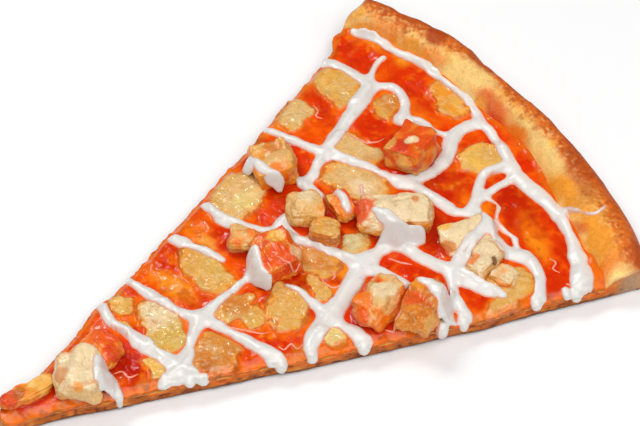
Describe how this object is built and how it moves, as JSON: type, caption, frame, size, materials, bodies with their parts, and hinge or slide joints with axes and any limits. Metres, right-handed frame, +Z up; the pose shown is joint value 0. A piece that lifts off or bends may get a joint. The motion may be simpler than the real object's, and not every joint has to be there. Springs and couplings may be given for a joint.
{
  "type": "buffalo chicken pizza slice",
  "caption": "Wedge of baked pizza with a raised rim, buffalo sauce and melted cheese, diced chicken and ranch drizzle; it lies flat on its base.",
  "frame": {"origin": "middle of the slice's bounding box, on the surface it rests on", "axes": "+Z up; +Y along the middle line from the tip to the rim; +X to the right when the tip points towards the viewer"},
  "size_m": [0.1225, 0.1772, 0.0156],
  "materials": {
    "baked_dough": "baked golden crust, browned on the rim, matt",
    "buffalo_sauce": "glossy red-orange sauce over melted cheese",
    "cooked_chicken": "cooked chicken, slightly moist, browned and sauced on top",
    "ranch_dressing": "white creamy dressing, satin gloss"
  },
  "bodies": {
    "root": {"crust": "baked_dough", "sauce_and_cheese": "buffalo_sauce", "chicken_cube": "cooked_chicken", "chicken_left_edge": "cooked_chicken", "chicken_lump_a": "cooked_chicken", "chicken_lump_b": "cooked_chicken", "chicken_lump_c": "cooked_chicken", "chicken_large": "cooked_chicken", "chicken_flat": "cooked_chicken", "chicken_crumb_a": "cooked_chicken", "chicken_crumb_b": "cooked_chicken", "chicken_pale": "cooked_chicken", "chicken_shredded": "cooked_chicken", "chicken_grilled": "cooked_chicken", "chicken_side": "cooked_chicken", "chicken_tip_top": "cooked_chicken", "chicken_tip_front": "cooked_chicken", "chicken_tip_strip": "cooked_chicken"}
  },
  "joints": []
}
